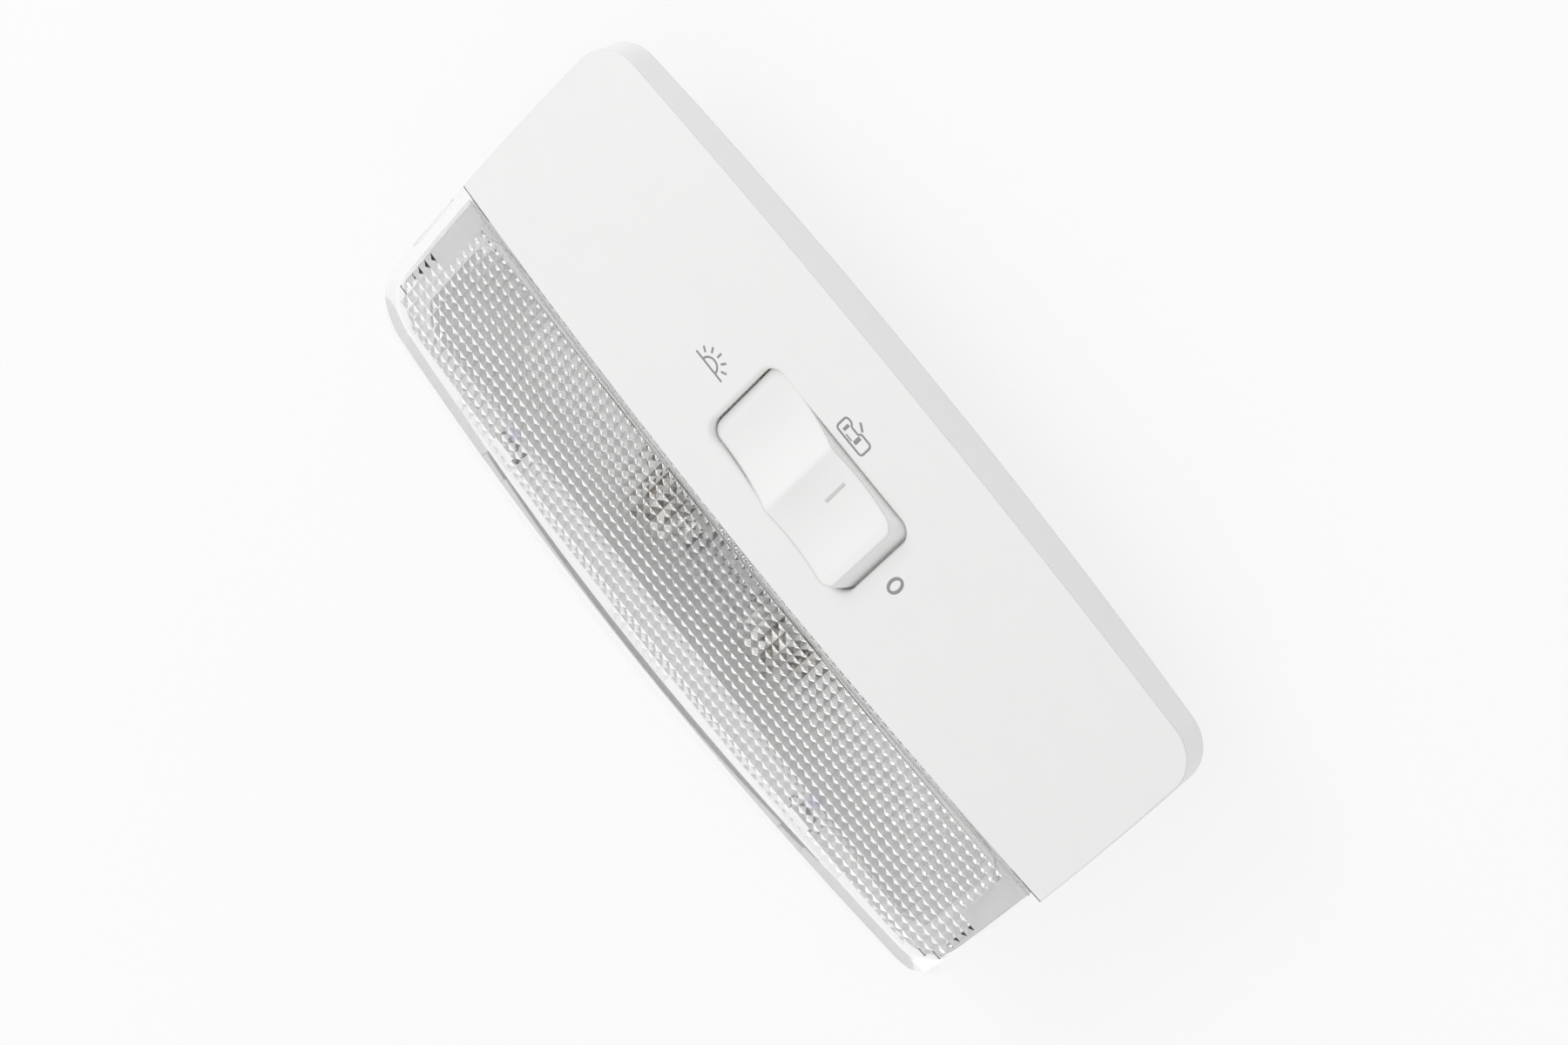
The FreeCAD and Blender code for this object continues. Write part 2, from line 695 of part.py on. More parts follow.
def make_rocker():
    """Rocker cap with two finger dishes, hollow inside, with spine, trunnions and plunger bore."""
    side = mm("rocker_width") / 2
    wall = mm("rocker_wall")
    ridge = mm("rocker_ridge")
    edge_section = (mm("rocker_pad_side"), ridge - mm("ridge_fall"))
    sections = [
        rocker_section(-side, *edge_section),
        rocker_section(0, mm("rocker_pad_mid"), ridge),
        rocker_section(side, *edge_section),
    ]
    cap = Part.makeLoft(sections, True, False)
    corners = [
        edge for edge in cap.Edges
        if abs(abs(edge.CenterOfMass.y) - side) < NEAR and abs(edge.CenterOfMass.x) > mm("rocker_half")
    ]
    cap = cap.makeFillet(mm("rocker_corner") - mm("rocker_corner_ease"), corners)
    inner_half = mm("rocker_half") - wall - mm("end_draft")
    roof = mm("rocker_pad_mid") - wall
    bend = mm("inside_corner")
    room = Vector(inner_half, side - wall, roof)
    hollow = rounded_box(Vector(-room.x, -room.y, -DEEP), room, bend)
    low = Vector(-mm("spine_length") / 2, -mm("spine_width") / 2, -mm("spine_depth"))
    high = Vector(mm("spine_length") / 2, mm("spine_width") / 2, roof + mm("root_bond"))
    spine = rounded_box(low, high, bend / 2)
    body = cap.cut(hollow).fuse(spine)
    journals = []
    for sign in (-1, 1):
        lobe_y = side - wall if sign > 0 else -side
        lobe = Part.makeCylinder(mm("trunnion"), wall, Vector(0, lobe_y, 0), Vector(0, 1, 0))
        pin_y = 0 if sign > 0 else -mm("trunnion_length")
        pin = Part.makeCylinder(
            mm("trunnion") / 2, mm("trunnion_length"), Vector(0, sign * side + pin_y, 0), Vector(0, 1, 0)
        )
        web = Part.makeBox(2 * mm("trunnion"), wall, roof, Vector(-mm("trunnion"), lobe_y, 0))
        journals += [lobe, pin, web]
    body = body.fuse(journals)
    bore = mm("plunger_diameter") / 2 + mm("plunger_clearance")
    depth = mm("spine_depth") + mm("bore_rise")
    tools = [Part.makeCylinder(bore, depth, Vector(0, 0, -mm("spine_depth")))]
    rivet = mm("rivet_diameter") / 2 + mm("screw_clearance")
    for sign in (-1, 1):
        place = Vector(0, sign * mm("rivet_spread") / 2, -mm("spine_depth"))
        tools.append(Part.makeCylinder(rivet, mm("rivet_hole"), place))
    return body.cut(tools).removeSplitter()


def make_wiper():
    """Bronze bridge on the end of the spine with two sprung fingers."""
    thick = mm("wiper_sheet")
    width = mm("wiper_finger")
    top = -mm("spine_depth")
    finger = mm("finger_spread") / 2
    half = finger + 0.8 * width
    length = 2.5 * width
    plate = Part.makeBox(length, 2 * half, thick, Vector(-length / 2, -half, top - thick))
    tip = mm("nose_radius") - mm("finger_lift") - thick / 2
    curl = width / 3
    fingers = []
    for sign in (-1, 1):
        path = [
            (finger + 0.6 * width, top - thick / 2), (finger + width, top - 0.8 * width),
            (finger + curl, 0.7 * curl - tip), (finger, -tip), (finger - curl, 0.7 * curl - tip),
        ]
        outline = ribbon([(sign * y, z) for y, z in path], thick)
        face = polygon_face([Vector(-width / 2, y, z) for y, z in outline])
        fingers.append(face.extrude(Vector(width, 0, 0)))
    bore = mm("rivet_diameter") / 2 + mm("screw_clearance")
    below = top - 1.5 * thick
    holes = [Part.makeCylinder(mm("plunger_diameter") / 2 + thick, 2 * thick, Vector(0, 0, below))]
    for sign in (-1, 1):
        place = Vector(0, sign * mm("rivet_spread") / 2, below)
        holes.append(Part.makeCylinder(bore, 2 * thick, place))
    return plate.fuse(fingers).cut(holes).removeSplitter()


def make_rivets():
    """Two small rivets that hold the bridge to the spine."""
    radius = mm("rivet_diameter") / 2
    face = -mm("spine_depth") - mm("wiper_sheet")
    rivets = []
    for sign in (-1, 1):
        place = Vector(0, sign * mm("rivet_spread") / 2, face)
        shank = Part.makeCylinder(radius, mm("rivet_hole") - mm("seat_gap"), place)
        flange = mm("rivet_head")
        head = Part.makeCylinder(radius + flange, flange, place - Vector(0, 0, flange))
        rivets.append(shank.fuse(head).removeSplitter())
    return Part.makeCompound(rivets)


def make_spring():
    """Coil spring between the bore's end and the plunger."""
    wire = mm("spring_wire")
    radius = mm("plunger_diameter") / 2 - wire
    bottom = -mm("plunger_top") + wire / 2
    length = mm("plunger_top") + mm("bore_rise") - mm("seat_gap") - wire
    steps = 10
    turns = int(mm("spring_turns"))
    points = []
    for index in range(turns * steps + 1):
        angle = 2 * math.pi * index / steps
        rise = bottom + length * index / (turns * steps)
        points.append(Vector(radius * math.cos(angle), radius * math.sin(angle), rise))
    half = wire / 2
    diamond = ((-1, 0), (0, -1), (1, 0), (0, 1))
    corners = [Vector(radius + u * half, 0, bottom + v * half) for u, v in diamond]
    section = Part.makePolygon(corners + [corners[0]])
    return Part.makePolygon(points).makePipeShell([section], True, False, 1)


def make_cam():
    """Detent block with three notches on an arc about the pivot."""
    half = mm("cam_half")
    width = mm("cam_width")
    arc = mm("nose_radius") + mm("cam_gap")
    bottom = PLATE_Z - PIVOT.z
    corner = Vector(-half, -width / 2, bottom - mm("cam_root"))
    block = Part.makeBox(2 * half, width, mm("cam_height"), corner)
    sweep = Part.makeCylinder(arc, 2 * width, Vector(0, -width, 0), Vector(0, 1, 0))
    notches = []
    for step in (-1, 0, 1):
        angle = math.radians(step * mm("rocker_tilt"))
        radius = mm("plunger_nose") + mm("seat_gap")
        reach = arc + mm("detent_sink") - radius
        centre = Vector(reach * math.sin(angle), -width, -reach * math.cos(angle))
        notches.append(Part.makeCylinder(radius, 2 * width, centre, Vector(0, 1, 0)))
    return block.cut([sweep] + notches)


# Contact strips


def flat_strip(path, width):
    """Stamped strip lying on the carrier plate."""
    face = polygon_face([Vector(u, v, PLATE_Z) for u, v in ribbon(path, width)])
    return face.extrude(Vector(0, 0, mm("strip_thick")))


def bulb_leaf(side):
    """Upright spring leaf with a hole that grips the bulb's pointed cap."""
    thick = mm("leaf_thick")
    x = mm("bulb_length") / 2 - mm("leaf_grip")
    foot = PLATE_Z + mm("strip_thick") / 2
    path = [
        (x + mm("leaf_foot"), foot), (x + mm("leaf_bend"), foot), (x, foot + mm("leaf_bend_rise")),
        (x, BULB.z + mm("leaf_straight")), (x + mm("leaf_flare"), BULB.z + mm("leaf_top")),
    ]
    outline = ribbon([(side * u, v) for u, v in path], thick)
    start = BULB.y - mm("leaf_width") / 2
    leaf = polygon_face([Vector(u, start, v) for u, v in outline]).extrude(Vector(0, mm("leaf_width"), 0))
    radius = mm("bulb_tip") / 2 + mm("leaf_hole_gap")
    start = Vector(side * x - 3 * thick, BULB.y, BULB.z)
    grip = Part.makeCylinder(radius, 6 * thick, start, Vector(1, 0, 0))
    return leaf.cut(grip)


def blade_x(index):
    """Place of a connector blade."""
    return mm("blade_first") + index * mm("blade_pitch")


def blade(index):
    """Connector blade at the front of a strip."""
    x = blade_x(index)
    width = mm("blade_width")
    start = mm("carrier_front") - mm("blade_root")
    reach = mm("carrier_front") - mm("blade_shy")
    ease = mm("blade_chamfer")
    left = x - width / 2
    right = x + width / 2
    points = [
        (left, start), (left, reach - ease), (left + ease, reach),
        (right - ease, reach), (right, reach - ease), (right, start),
    ]
    face = polygon_face([Vector(u, v, PLATE_Z) for u, v in points])
    return face.extrude(Vector(0, 0, mm("strip_thick")))


def make_feed_contact():
    """Feed strip from its blade to the bulb's -X end."""
    end = -mm("bulb_length") / 2 - mm("strip_margin")
    x = blade_x(0)
    path = [(x, STRIP_START), (x, BULB.y), (end, BULB.y)]
    return flat_strip(path, mm("strip_width")).fuse([blade(0), bulb_leaf(-1)]).removeSplitter()


def make_switched_contact():
    """Strip from the bulb's +X end to the pad under the wiper."""
    start = mm("bulb_length") / 2 + mm("strip_margin")
    corner = start + mm("strip_side")
    y = mm("rocker_y") + mm("finger_spread") / 2
    path = [(start, BULB.y), (corner, BULB.y), (corner, y), (-1.5 * mm("wiper_finger"), y)]
    return flat_strip(path, mm("strip_width")).fuse(bulb_leaf(1)).removeSplitter()


def make_pad_terminal(index, pad_x, side):
    """Strip from a blade to a narrow pad under the wiper's other finger."""
    finger_y = mm("rocker_y") - mm("finger_spread") / 2
    run_y = finger_y + side * mm("pad_offset")
    x = blade_x(index)
    path = [(x, STRIP_START), (x, run_y), (pad_x, run_y), (pad_x, finger_y - side * mm("pad_overlap"))]
    return flat_strip(path, mm("pad_width")).fuse(blade(index)).removeSplitter()


# Carrier, made of linked primitives


def make_carrier():
    """Rear carrier tray with detent block, connector shroud and screw holes."""
    plate = "pivot_z - nose_radius - cam_gap + pad_rise - strip_thick"
    shroud_front = "carrier_front + shroud_proud"
    rim = "carrier_rim"
    low = f"{plate} - carrier_height"
    wide = "2 * carrier_half"
    deep = "carrier_back + carrier_front"
    tray_block = linked_box(
        "carrier_block", (wide, deep, "carrier_height"), ("0 - carrier_half", "0 - carrier_back", low)
    )
    doc.recompute()
    rounded = doc.addObject("Part::Fillet", "carrier_rounded")
    rounded.Base = tray_block
    upright = [index for index, edge in enumerate(tray_block.Shape.Edges, start=1) if is_upright(edge)]
    rounded.Edges = [(index, mm("carrier_corner"), mm("carrier_corner")) for index in upright]
    recess = linked_box(
        "carrier_recess",
        (f"{wide} - 2 * {rim}", f"{deep} - 2 * {rim}", "carrier_height - carrier_plate"),
        (f"{rim} - carrier_half", f"{rim} - carrier_back", low),
    )
    tray_shell = cut_from("carrier_tray", rounded, [recess])
    inner = "2 * blade_pitch + blade_width + shroud_margin"
    middle = "blade_first + blade_pitch"
    base = f"{plate} + strip_thick / 2 - shroud_height / 2"
    shroud = linked_box(
        "shroud_block",
        (f"{inner} + 2 * shroud_wall", "shroud_depth + shroud_wall", "shroud_height"),
        (f"{middle} - ({inner}) / 2 - shroud_wall", f"{shroud_front} - shroud_depth - shroud_wall", base),
    )
    socket = linked_box(
        "shroud_socket",
        (inner, "shroud_depth + shroud_wall", "shroud_height - 2 * shroud_wall"),
        (f"{middle} - ({inner}) / 2", f"{shroud_front} - shroud_depth", f"{base} + shroud_wall"),
    )
    doors = [
        linked_box(
            f"blade_slot_{index}",
            ("blade_width + 2 * blade_fit", "shroud_depth", "strip_thick + blade_fit"),
            (
                f"blade_first + {index} * blade_pitch - blade_width / 2 - blade_fit",
                "carrier_front - 2 * shroud_depth + 2 * shroud_proud", plate,
            ),
        )
        for index in range(3)
    ]
    cam = feature("detent_block", make_cam(), Placement(PIVOT, Rotation()))
    holes = [
        linked_cylinder(
            f"screw_hole_{side}_{row}", "screw_diameter / 2 + 4 * screw_clearance", "4 * carrier_height",
            (f"{sign} * (carrier_half - screw_edge)", place, f"{low} - carrier_height"),
        )
        for side, sign in (("left", "-1"), ("right", "1"))
        for row, place in (
            ("front", "carrier_front - screw_edge"), ("back", "carrier_front - screw_edge - screw_row"),
        )
    ]
    whole = joined("carrier_whole", [tray_shell, shroud, cam])
    return cut_from("carrier", whole, [socket] + doors + holes)


def make_screws():
    """Four tapping screws that hold the carrier to the housing."""
    under = PLATE_Z - mm("carrier_plate")
    screws = []
    for place in SCREWS:
        base = Vector(place.x, place.y, under)
        crown = Vector(place.x, place.y, under - mm("screw_head_height"))
        shank = Part.makeCylinder(mm("screw_diameter") / 2, mm("screw_length"), base)
        head = Part.makeCylinder(mm("screw_head") / 2, mm("screw_head_height"), crown)
        screws.append(head.fuse(shank).removeSplitter())
    return Part.makeCompound(screws)


def make_clip(y):
    """Folded spring clip over the wall at the +X end."""
    thick = mm("clip_thick")
    away = thick / 2 + mm("clip_fit")
    inside = CHAMBER_HALF - away
    outside = CHAMBER_HALF + mm("collar_wall") + away
    foot = -mm("collar_depth") - away
    path = [
        (inside, -mm("clip_tail")), (inside, foot), (outside, foot), (outside, foot + mm("clip_rise")),
        (outside + mm("clip_bulge"), foot + mm("clip_bulge_rise")),
        (outside + mm("clip_lead"), foot + mm("clip_height")),
    ]
    start = y - mm("clip_width") / 2
    face = polygon_face([Vector(u, start, v) for u, v in ribbon(path, thick)])
    return face.extrude(Vector(0, mm("clip_width"), 0))


# Document


def bulb_outline():
    """Glass envelope: tube with sloped shoulders and a neck at each end."""
    outer = "bulb_diameter / 2"
    neck = "bulb_neck / 2"
    wall = "bulb_glass_wall"
    end = "(bulb_length / 2 - bulb_cone - glass_end_gap)"
    shoulder = "(bulb_length / 2 - bulb_cap_length - glass_neck_gap)"
    body = f"({shoulder} - glass_shoulder)"
    return [
        (f"0 - {end}", f"{neck} - {wall}"), (f"0 - {end}", neck), (f"0 - {shoulder}", neck),
        (f"0 - {body}", outer), (body, outer), (shoulder, neck), (end, neck), (end, f"{neck} - {wall}"),
        (shoulder, f"{neck} - {wall}"), (body, f"{outer} - {wall}"), (f"0 - {body}", f"{outer} - {wall}"),
        (f"0 - {shoulder}", f"{neck} - {wall}"),
    ]


def cap_outline(sign):
    """Metal cap: thin cup with a pointed end."""
    tip = "bulb_length / 2"
    shoulder = "(bulb_length / 2 - bulb_cone)"
    mouth = "(bulb_length / 2 - bulb_cap_length)"
    radius = "bulb_cap_diameter / 2"
    floor = f"({shoulder} - bulb_cap_wall)"
    rows = [
        (tip, "0"), (tip, "bulb_tip / 2"), (shoulder, radius), (mouth, radius),
        (mouth, f"{radius} - bulb_cap_wall"), (floor, f"{radius} - bulb_cap_wall"), (floor, "0"),
    ]
    return [(f"{sign} * ({along})", across) for along, across in rows]


def coil_outline():
    """Filament coil with its two lead wires."""
    wire = "lead_wire / 2"
    coil = "coil_diameter / 2"
    end = "(bulb_length / 2 - bulb_cone - bulb_cap_wall)"
    rows = [(f"0 - {end}", "0"), (f"0 - {end}", wire)]
    turns = 7
    for turn in range(turns):
        start = f"coil_length * {turn / turns - 0.5}"
        rows += [(start, wire), (f"{start} + coil_length * {0.5 / turns}", coil)]
    return rows + [("coil_length / 2", wire), (end, wire), (end, "0")]


def plunger_outline():
    """Plunger with a pointed nose, nose towards +X of its own axis."""
    radius = "plunger_diameter / 2"
    return [
        ("plunger_top", "0"), ("plunger_top", radius), ("nose_radius - nose_length", radius),
        ("nose_radius - nose_tip", "plunger_nose"), ("nose_radius", "plunger_nose / 3"), ("nose_radius", "0"),
    ]


feature("lens", make_lens())
feature("housing", make_housing())
feature("reflector", make_reflector())
at_bulb = Placement(BULB, Rotation())
turned("bulb_glass", bulb_outline(), at_bulb)
turned("bulb_cap_left", cap_outline("-1"), at_bulb)
turned("bulb_cap_right", cap_outline("1"), at_bulb)
turned("bulb_filament", coil_outline(), at_bulb)
feature("feed_contact", make_feed_contact())
feature("switched_contact", make_switched_contact())
swing = mm("nose_radius") * math.sin(math.radians(mm("rocker_tilt")))
feature("door_terminal", make_pad_terminal(1, 0.0, -1))
feature("earth_terminal", make_pad_terminal(2, swing, 1))
make_carrier()
feature("carrier_screws", make_screws())
feature("rocker", make_rocker(), REST)
feature("contact_wiper", make_wiper(), REST)
feature("wiper_rivets", make_rivets(), REST)
feature("detent_spring", make_spring(), REST)
turned("detent_plunger", plunger_outline(), REST * Placement(Vector(), Rotation(Vector(0, 1, 0), 90)))
feature("retaining_clip_lens_side", make_clip(BULB.y))
feature("retaining_clip_panel_side", make_clip(mm("fix_panel_y")))

NODES = [
    "lens", "housing", "reflector", "bulb_glass", "bulb_cap_left", "bulb_cap_right", "bulb_filament",
    "feed_contact", "switched_contact", "door_terminal", "earth_terminal", "carrier", "carrier_screws",
    "rocker", "contact_wiper", "wiper_rivets", "detent_spring", "detent_plunger",
    "retaining_clip_lens_side", "retaining_clip_panel_side",
]

doc.recompute()
faults = [item.Label for item in doc.Objects if "Invalid" in item.State or "Error" in item.State]
nodes = [next(item for item in doc.Objects if item.Label == label) for label in NODES]
faults += [item.Label for item in nodes if item.Shape.isNull() or not item.Shape.isValid()]
if faults:
    raise RuntimeError("not built: " + ", ".join(faults))

os.makedirs("parts", exist_ok=True)
for item in nodes:
    item.Shape.exportStep(f"parts/{item.Label}.step")
    print(f"{item.Label}: {len(item.Shape.Solids)} solid, {item.Shape.Volume:.1f} mm3")
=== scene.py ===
import json
import math

import bpy
from mathutils import Matrix, Vector


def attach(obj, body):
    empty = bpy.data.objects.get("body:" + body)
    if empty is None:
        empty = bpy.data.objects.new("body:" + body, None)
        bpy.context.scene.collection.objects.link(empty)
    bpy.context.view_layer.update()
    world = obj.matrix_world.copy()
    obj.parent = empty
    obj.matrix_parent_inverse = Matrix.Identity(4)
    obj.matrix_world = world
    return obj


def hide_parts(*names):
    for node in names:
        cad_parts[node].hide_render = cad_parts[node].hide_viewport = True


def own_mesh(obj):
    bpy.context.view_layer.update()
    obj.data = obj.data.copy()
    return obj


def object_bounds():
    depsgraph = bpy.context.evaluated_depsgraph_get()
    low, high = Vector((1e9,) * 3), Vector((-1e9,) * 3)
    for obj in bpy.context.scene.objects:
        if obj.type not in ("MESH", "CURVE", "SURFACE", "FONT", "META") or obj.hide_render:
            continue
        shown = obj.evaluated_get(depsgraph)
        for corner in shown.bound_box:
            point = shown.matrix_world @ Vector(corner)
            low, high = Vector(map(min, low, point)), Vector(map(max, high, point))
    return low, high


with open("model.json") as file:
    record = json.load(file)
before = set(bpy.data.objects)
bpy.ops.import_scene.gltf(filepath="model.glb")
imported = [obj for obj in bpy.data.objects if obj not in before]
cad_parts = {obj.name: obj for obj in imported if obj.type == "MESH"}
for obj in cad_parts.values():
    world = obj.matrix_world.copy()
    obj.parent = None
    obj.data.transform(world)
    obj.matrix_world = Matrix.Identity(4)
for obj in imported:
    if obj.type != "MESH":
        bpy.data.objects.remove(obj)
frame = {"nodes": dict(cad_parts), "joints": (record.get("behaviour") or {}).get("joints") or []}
CAD_BOX = [list(corner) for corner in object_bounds()]

bl_info = {
    "name": "Car courtesy light",
    "version": (1, 0, 0),
    "blender": (4, 5, 0),
    "location": "View3D > Sidebar > Courtesy light",
    "description": "Finishes, printed signs and studio for a car courtesy light with a rocker switch",
    "category": "Object",
}

MM = 0.001
FULL_TURN = 2 * math.pi
LOWEST, HIGHEST = (Vector(corner) for corner in CAD_BOX)

# Finishes: the slow drift of tone against the fine grain, the grain's height, the rays for a soft edge
DRIFT_SHARE = 0.08
DRIFT_DETAIL = 2.0
GRAIN_DETAIL = 3.0
GRAIN_HEIGHT = 0.05 * MM
EDGE_RAYS = 8

# Colour sockets of a mix node: two inputs and the output
MIX_FIRST, MIX_SECOND, MIX_RESULT = 6, 7, 2

# Where a violet glint is painted on the lens over its snap hooks
HOOK_SPOTS = ((-42.0 * MM, -25.0 * MM, 0.0), (41.5 * MM, -24.0 * MM, 0.0))
HOOK_CORE = 0.9 * MM
HOOK_REACH = 1.9 * MM

# Facets of the coil spring's wire, round the wire and along each turn
COIL_SIDES = 10
COIL_STEPS = 24

# Rounding steps of a sign's lines
BEAD_STEPS = 2

# Half sun: angles of its rays in degrees, and their start and end against its radius
SUN_STEPS = 24
RAY_ANGLES = (30, 60, 90, 120, 150)
RAY_START, RAY_END = 1.5, 2.2

# Car from above, in shares of its half length and half width: corners, open side, lines with their weight
CORNER_BEND = 0.45
CORNER_STEPS = 5
OPEN_SIDE = ((0.22, 1.0), (0.08, 0.6), (-0.4, 0.6), (-0.6, 1.0))
CAR_LINES = (
    ((-0.6, -0.5), (-0.6, 0.5), 1.5),
    ((0.28, -0.55), (0.28, 0.55), 1.9),
    ((-0.36, -0.62), (0.1, -0.62), 0.7),
    ((-0.28, 1.95), (0.16, 1.3), 1.1),
)

# Off sign and rocker's line: points round the ring, and weight of both lines
RING_POINTS = 36
BOLD = 1.5

# Floor: its tones and grain, how much of it glows white near the lamp, how far out its shadow counts,
# and where it is all white
FLOOR_SIZE = 6.0
FLOOR_TONES = ((0.88, 0.88, 0.88), (0.9, 0.9, 0.9))
FLOOR_GRAIN = 3.0
FLOOR_ROUGHNESS = 0.9
SHADOW_GLOW = 0.8
SHADOW_REACH = 0.12
WHITE_REACH = 0.6

SENSOR_WIDTH = 36.0
NEAR_CLIP = 0.01


# Sizes and colours that a user may change
def colour_setting(name, description, default):
    return bpy.props.FloatVectorProperty(
        name=name, description=description, subtype="COLOR", size=3, min=0, max=1, default=default)


def length_setting(name, description, default):
    return bpy.props.FloatProperty(name=name, description=description, unit="LENGTH", default=default)


def lengths_setting(name, description, default):
    return bpy.props.FloatVectorProperty(
        name=name, description=description, unit="LENGTH", size=len(default), default=default)


def angle_setting(name, description, degrees):
    return bpy.props.FloatProperty(
        name=name, description=description, subtype="ANGLE", default=math.radians(degrees))


def power_setting(name, description, default):
    return bpy.props.FloatProperty(name=name, description=description, unit="POWER", default=default)


class CourtesyLightFinish(bpy.types.PropertyGroup):
    """Colours of the mouldings, the metals and the print"""

    moulding_white: colour_setting(
        "Moulding white", "Satin white of the housing and the rocker", (0.91, 0.91, 0.905))
    lens_clear: colour_setting("Lens tint", "Faint tint of the clear acrylic", (0.985, 0.985, 0.984))
    # Painted glint: a violet highlight painted into the lens colour over the two snap hooks, standing in for
    # light caught in the thick acrylic
    hook_glint: colour_setting(
        "Hook glint", "Faint violet of the lens over its two snap hooks", (0.84, 0.82, 0.95))
    silvering: colour_setting("Silvering", "Pale metal coat of the reflector", (0.94, 0.94, 0.935))
    bulb_clear: colour_setting("Bulb glass", "Thin clear glass of the bulb", (0.95, 0.95, 0.95))
    cap_nickel: colour_setting("Cap nickel", "Plated caps of the bulb", (0.66, 0.65, 0.62))
    filament_grey: colour_setting("Filament grey", "Tungsten of the filament", (0.22, 0.22, 0.23))
    leaf_plating: colour_setting("Leaf plating", "Plated strips that hold the bulb", (0.40, 0.36, 0.32))
    contact_bronze: colour_setting("Contact bronze", "Terminals and wiper", (0.50, 0.37, 0.23))
    rivet_brass: colour_setting("Rivet brass", "Rivets of the wiper", (0.70, 0.55, 0.27))
    screw_zinc: colour_setting("Screw zinc", "Plated screws of the carrier", (0.62, 0.64, 0.66))
    spring_steel: colour_setting("Spring steel", "Retaining clips and detent spring", (0.42, 0.42, 0.43))
    carrier_nylon: colour_setting("Carrier nylon", "Pale nylon of the carrier", (0.88, 0.88, 0.87))
    plunger_acetal: colour_setting("Plunger acetal", "Natural acetal of the plunger", (0.80, 0.79, 0.75))
    print_grey: colour_setting("Print grey", "Ink of the signs round the switch", (0.31, 0.31, 0.32))
    index_grey: colour_setting("Index grey", "Paler ink of the line on the rocker", (0.66, 0.66, 0.65))


class CourtesyLightCoil(bpy.types.PropertyGroup):
    """Wire of the coil spring behind the detent plunger"""

    wire: length_setting("Wire", "Thickness of the spring's round wire", 0.4 * MM)
    turns: bpy.props.IntProperty(name="Turns", description="Number of whole turns", min=1, default=7)


class CourtesyLightSigns(bpy.types.PropertyGroup):
    """Sizes of the printed signs, as they lie in the frame"""

    stroke: length_setting("Stroke", "Width of the signs' lines", 0.42 * MM)
    ink_rise: length_setting("Ink rise", "Height of the ink over the moulding", 0.03 * MM)
    sun_place: lengths_setting("Sun place", "Middle of the half sun's horizon", (-25.8 * MM, 17.7 * MM))
    sun_radius: length_setting("Sun radius", "Radius of the half sun", 1.65 * MM)
    horizon: length_setting("Horizon", "Length of the half sun's horizon", 6.9 * MM)
    car_place: lengths_setting("Car place", "Middle of the car sign", (0.0, 31.8 * MM))
    car_size: lengths_setting("Car size", "Length and width of the car sign", (6.6 * MM, 2.9 * MM))
    off_place: lengths_setting("Off place", "Middle of the off sign", (23.1 * MM, 19.1 * MM))
    off_size: lengths_setting("Off size", "Width and height of the off sign", (2.05 * MM, 3.25 * MM))
    index_ends: lengths_setting(
        "Index line", "Distance across, start and end of the rocker's line", (4.8 * MM, 19.4 * MM, 24.9 * MM))


class CourtesyLightStudio(bpy.types.PropertyGroup):
    """Camera and light"""

    target: lengths_setting("Target", "Point that the camera looks at", (2.4 * MM, 9.55 * MM, 8.0 * MM))
    distance: length_setting("Distance", "From the camera to its target", 0.679)
    azimuth: angle_setting("Azimuth", "Camera's turn about the vertical, from the +Y side", 10.8)
    elevation: angle_setting("Elevation", "Camera's height angle", 53.5)
    roll: angle_setting("Roll", "Camera's turn about its own line of sight", -120.2)
    focal: bpy.props.FloatProperty(
        name="Focal length", description="In millimetres, on a 36 mm wide sensor", unit="CAMERA",
        default=92.0)
    key_power: power_setting("Key power", "Soft lamp on the sun sign's side", 2.3)
    key_place: lengths_setting("Key place", "Middle of the key lamp", (-0.68, 0.15, 0.6))
    key_size: length_setting("Key size", "Side of the key lamp's square", 0.5)
    fill_power: power_setting("Fill power", "Weak lamp on the lens side", 0.3)
    fill_place: lengths_setting("Fill place", "Middle of the fill lamp", (0.35, -0.7, 0.55))
    fill_size: length_setting("Fill size", "Side of the fill lamp's square", 0.8)
    sky: bpy.props.FloatProperty(
        name="Sky", description="Strength of the even light from all round", subtype="FACTOR",
        min=0, max=1, default=0.74)


# Shader maths: a socket that understands Python's operators
class Wire:
    """A node tree's output socket, or the tree itself when it has no socket"""

    def __init__(self, tree, socket=None):
        self.tree = tree
        self.socket = socket

    def node(self, kind, settings=None, out=0, **inputs):
        """Adds any node, sets it up, fills its inputs, and gives the wire of one output"""
        made = self.tree.nodes.new(kind)
        for name, value in (settings or {}).items():
            setattr(made, name, value)
        for name, value in inputs.items():
            key = int(name[1:]) if name[0] == "i" and name[1:].isdigit() else name.replace("_", " ")
            self.plug(made.inputs[key], value)
        return Wire(self.tree, made.outputs[out])

    def plug(self, socket, value):
        """Links a wire to an input, or sets the input's own value"""
        if isinstance(value, Wire):
            self.tree.links.new(value.socket, socket)
        else:
            socket.default_value = value

    def __add__(self, other):
        return self.node("ShaderNodeMath", {"operation": "ADD"}, i0=self, i1=other)

    def __mul__(self, other):
        return self.node("ShaderNodeMath", {"operation": "MULTIPLY"}, i0=self, i1=other)

    __radd__ = __add__
    __rmul__ = __mul__

    def between(self, low, high):
        """A value from low to high where this wire goes from 0 to 1"""
        return self * (high - low) + low

    def blend(self, first, second):
        """The first colour where this wire is 0 and the second where it is 1"""
        mixed = self.tree.nodes.new("ShaderNodeMix")
        mixed.data_type = "RGBA"
        self.plug(mixed.inputs["Factor"], self)
        self.plug(mixed.inputs[MIX_FIRST], first)
        self.plug(mixed.inputs[MIX_SECOND], second)
        return Wire(self.tree, mixed.outputs[MIX_RESULT])


def rgba(colour):
    """A colour with its alpha"""
    return tuple(colour) + (1.0,)


